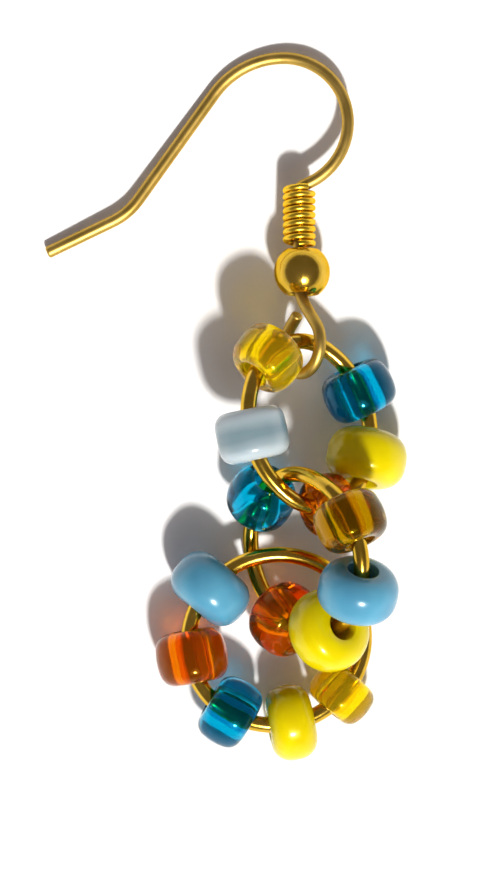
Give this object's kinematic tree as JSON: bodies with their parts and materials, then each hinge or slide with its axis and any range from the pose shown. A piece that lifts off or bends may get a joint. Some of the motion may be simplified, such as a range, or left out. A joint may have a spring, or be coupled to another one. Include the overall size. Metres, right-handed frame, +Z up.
{
  "type": "glass bead earring",
  "caption": "Fish-hook ear wire with a ball and a coil, and a hanging chain of linked wire rings threaded with small coloured glass beads; lies flat on a surface.",
  "frame": {"origin": "on the surface that the earring lies on, under the middle of its bounding box", "axes": "+X to the right and +Y along the earring towards the arch of the ear wire, as seen from above; +Z up from the surface"},
  "size_m": [0.0196, 0.0384, 0.0099],
  "materials": {
    "gold_plate": "polished gold plating",
    "clear_yellow_glass": "clear glass, glossy",
    "pale_blue_glass": "milky glass, glossy",
    "clear_orange_glass": "clear glass, glossy",
    "solid_yellow_glass": "opaque glass, glossy",
    "clear_blue_glass": "clear glass, glossy",
    "solid_blue_glass": "opaque glass, glossy",
    "clear_amber_glass": "clear glass, glossy"
  },
  "bodies": {
    "root": {"ear_hook": "gold_plate", "hook_ball": "gold_plate", "hook_coil": "gold_plate", "ring_upper": "gold_plate", "ring_middle": "gold_plate", "ring_lower": "gold_plate", "bead_upper_clear_yellow": "clear_yellow_glass", "bead_upper_pale_blue": "pale_blue_glass", "bead_upper_clear_orange": "clear_orange_glass", "bead_upper_solid_yellow": "solid_yellow_glass", "bead_upper_clear_blue": "clear_blue_glass", "bead_middle_clear_blue": "clear_blue_glass", "bead_middle_clear_orange": "clear_orange_glass", "bead_middle_solid_yellow": "solid_yellow_glass", "bead_middle_solid_blue": "solid_blue_glass", "bead_middle_clear_amber": "clear_amber_glass", "bead_lower_solid_blue": "solid_blue_glass", "bead_lower_clear_orange": "clear_orange_glass", "bead_lower_clear_blue": "clear_blue_glass", "bead_lower_solid_yellow": "solid_yellow_glass", "bead_lower_clear_yellow": "clear_yellow_glass"}
  },
  "joints": []
}
